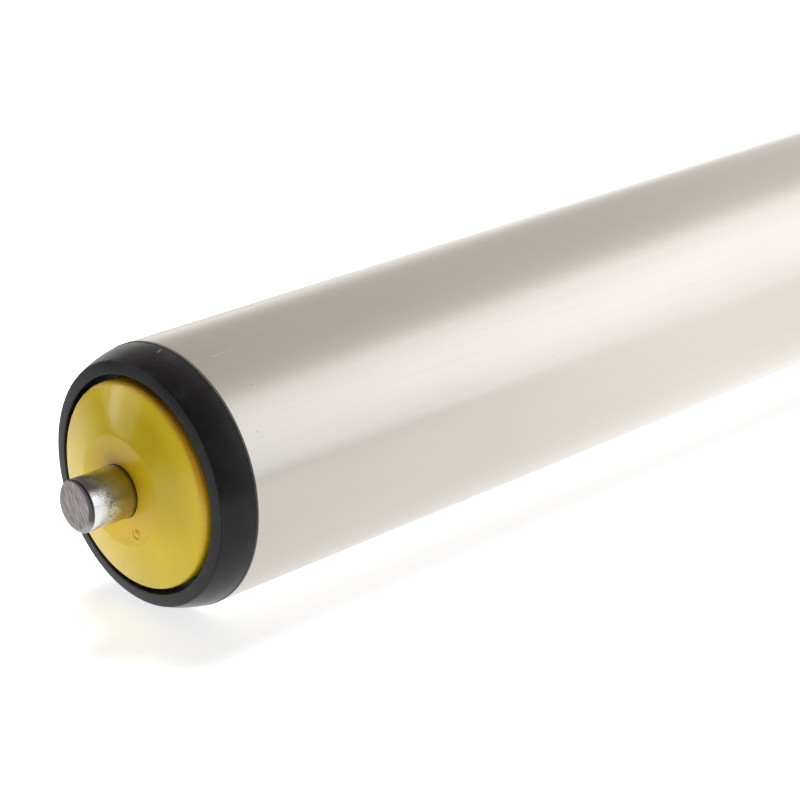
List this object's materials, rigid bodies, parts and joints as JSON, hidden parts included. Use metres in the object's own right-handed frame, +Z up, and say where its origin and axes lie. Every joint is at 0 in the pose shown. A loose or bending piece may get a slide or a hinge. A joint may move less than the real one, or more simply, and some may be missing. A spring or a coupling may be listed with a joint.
{
  "type": "conveyor roller",
  "caption": "Gravity conveyor roller: steel tube on two ball bearings in moulded housings, turning on a spring-loaded round axle.",
  "frame": {"origin": "centre of the roller, on the axle's middle line half way between the axle ends at rest", "axes": "+Y along the axle, from the stop end (front) to the spring end (rear); +Z up as the roller lies in a conveyor"},
  "size_m": [0.05, 0.3416, 0.05],
  "materials": {
    "tube": "satin zinc-plated steel tube, fine lengthwise draw marks",
    "housing": "black moulded plastic, half gloss",
    "disc": "glossy moulded plastic, ochre yellow",
    "axle": "bright zinc-plated bar with a sawn end",
    "race": "ground bearing steel",
    "ball": "polished bearing steel",
    "cage": "natural nylon",
    "spring": "spring wire",
    "ring": "phosphated spring steel",
    "washer": "zinc-plated steel"
  },
  "bodies": {
    "axle": {"axle": "axle", "stop_ring": "ring", "stop_washer": "washer", "spring_ring": "ring", "spring_washer": "washer", "spring": "spring"},
    "hub": {"front_inner_race": "race", "rear_inner_race": "race", "front_seal_disc": "disc", "rear_seal_disc": "disc", "spring_seat": "washer"},
    "shell": {"tube": "tube", "front_housing": "housing", "rear_housing": "housing", "front_outer_race": "race", "rear_outer_race": "race"},
    "front_ball_set": {"front_cage": "cage", "front_ball_1": "ball", "front_ball_2": "ball", "front_ball_3": "ball", "front_ball_4": "ball", "front_ball_5": "ball", "front_ball_6": "ball", "front_ball_7": "ball", "front_ball_8": "ball", "front_ball_9": "ball"},
    "rear_ball_set": {"rear_cage": "cage", "rear_ball_1": "ball", "rear_ball_2": "ball", "rear_ball_3": "ball", "rear_ball_4": "ball", "rear_ball_5": "ball", "rear_ball_6": "ball", "rear_ball_7": "ball", "rear_ball_8": "ball", "rear_ball_9": "ball"}
  },
  "joints": [
    {"name": "axle_press", "type": "slide", "parent": "axle", "child": "hub", "axis": [0, -1, 0], "range_m": [0, 0.0095], "stiffness_N_per_m": 930, "springref_m": -0.016, "deforming": ["spring"]},
    {"name": "roller_spin", "type": "hinge", "parent": "hub", "child": "shell", "pos_m": [0, 0, 0], "axis": [0, 1, 0], "continuous": true},
    {"name": "front_balls_travel", "type": "hinge", "parent": "hub", "child": "front_ball_set", "pos_m": [0, -0.148, 0], "axis": [0, 1, 0], "continuous": true},
    {"name": "rear_balls_travel", "type": "hinge", "parent": "hub", "child": "rear_ball_set", "pos_m": [0, 0.148, 0], "axis": [0, 1, 0], "continuous": true}
  ],
  "couplings": [
    {"joint": "front_balls_travel", "follows": "roller_spin", "ratio": 0.62},
    {"joint": "rear_balls_travel", "follows": "roller_spin", "ratio": 0.62}
  ]
}
